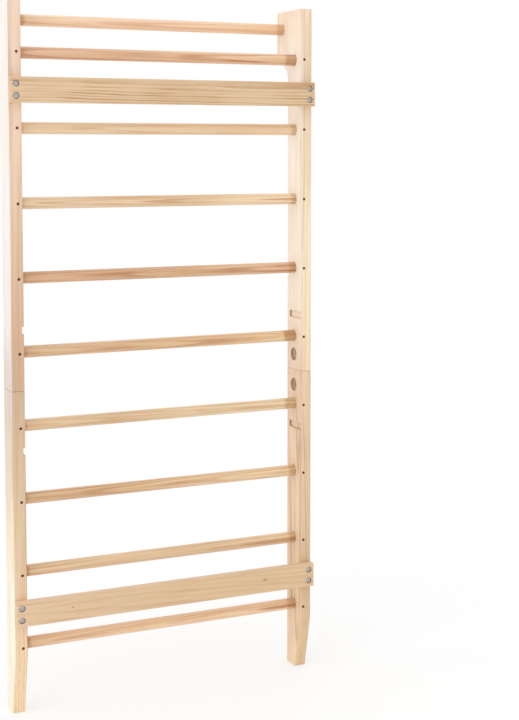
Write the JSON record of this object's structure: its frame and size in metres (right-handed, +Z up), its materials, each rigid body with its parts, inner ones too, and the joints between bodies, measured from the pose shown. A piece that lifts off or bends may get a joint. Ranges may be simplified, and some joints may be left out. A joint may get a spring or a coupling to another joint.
{
  "type": "wall bars",
  "caption": "Wooden wall bars: round rungs between two uprights with forward heads, each upright bolted from two boards, and two flat rails that meet the wall.",
  "frame": {"origin": "centre of the upper wall rail's wall face, midway between the uprights and midway between the second and third rungs", "axes": "+X to the right seen from the room, along the rungs; +Y into the wall; +Z up along the uprights"},
  "size_m": [0.886, 0.1823, 1.933],
  "materials": {
    "upright_pine": "pale pine, planed and clear satin lacquer, vertical grain",
    "rung_pine": "turned pine, clear satin lacquer, grain along the rung",
    "rail_pine": "planed pine with strong streaks, matt",
    "dowel_beech": "plain beech, unfinished",
    "screw_zinc": "zinc plated, satin",
    "joint_zinc": "zinc plated, dull"
  },
  "bodies": {
    "root": {"joint_dowel_left_back": "dowel_beech", "joint_dowel_left_front": "dowel_beech", "joint_dowel_right_back": "dowel_beech", "joint_dowel_right_front": "dowel_beech", "joint_nut_left_lower": "joint_zinc", "joint_nut_left_upper": "joint_zinc", "joint_nut_right_lower": "joint_zinc", "joint_nut_right_upper": "joint_zinc", "joint_rod_left": "joint_zinc", "joint_rod_right": "joint_zinc", "joint_washer_left_lower": "joint_zinc", "joint_washer_left_upper": "joint_zinc", "joint_washer_right_lower": "joint_zinc", "joint_washer_right_upper": "joint_zinc", "rail_screw_lower_left_1": "screw_zinc", "rail_screw_lower_left_2": "screw_zinc", "rail_screw_lower_right_1": "screw_zinc", "rail_screw_lower_right_2": "screw_zinc", "rail_screw_upper_left_1": "screw_zinc", "rail_screw_upper_left_2": "screw_zinc", "rail_screw_upper_right_1": "screw_zinc", "rail_screw_upper_right_2": "screw_zinc", "rung_01": "rung_pine", "rung_02": "rung_pine", "rung_03": "rung_pine", "rung_04": "rung_pine", "rung_05": "rung_pine", "rung_06": "rung_pine", "rung_07": "rung_pine", "rung_08": "rung_pine", "rung_09": "rung_pine", "rung_10": "rung_pine", "rung_screw_left_01": "screw_zinc", "rung_screw_left_02": "screw_zinc", "rung_screw_left_03": "screw_zinc", "rung_screw_left_04": "screw_zinc", "rung_screw_left_05": "screw_zinc", "rung_screw_left_06": "screw_zinc", "rung_screw_left_07": "screw_zinc", "rung_screw_left_08": "screw_zinc", "rung_screw_left_09": "screw_zinc", "rung_screw_left_10": "screw_zinc", "rung_screw_right_01": "screw_zinc", "rung_screw_right_02": "screw_zinc", "rung_screw_right_03": "screw_zinc", "rung_screw_right_04": "screw_zinc", "rung_screw_right_05": "screw_zinc", "rung_screw_right_06": "screw_zinc", "rung_screw_right_07": "screw_zinc", "rung_screw_right_08": "screw_zinc", "rung_screw_right_09": "screw_zinc", "rung_screw_right_10": "screw_zinc", "upright_left_lower": "upright_pine", "upright_left_upper": "upright_pine", "upright_right_lower": "upright_pine", "upright_right_upper": "upright_pine", "wall_rail_lower": "rail_pine", "wall_rail_upper": "rail_pine"}
  },
  "joints": []
}
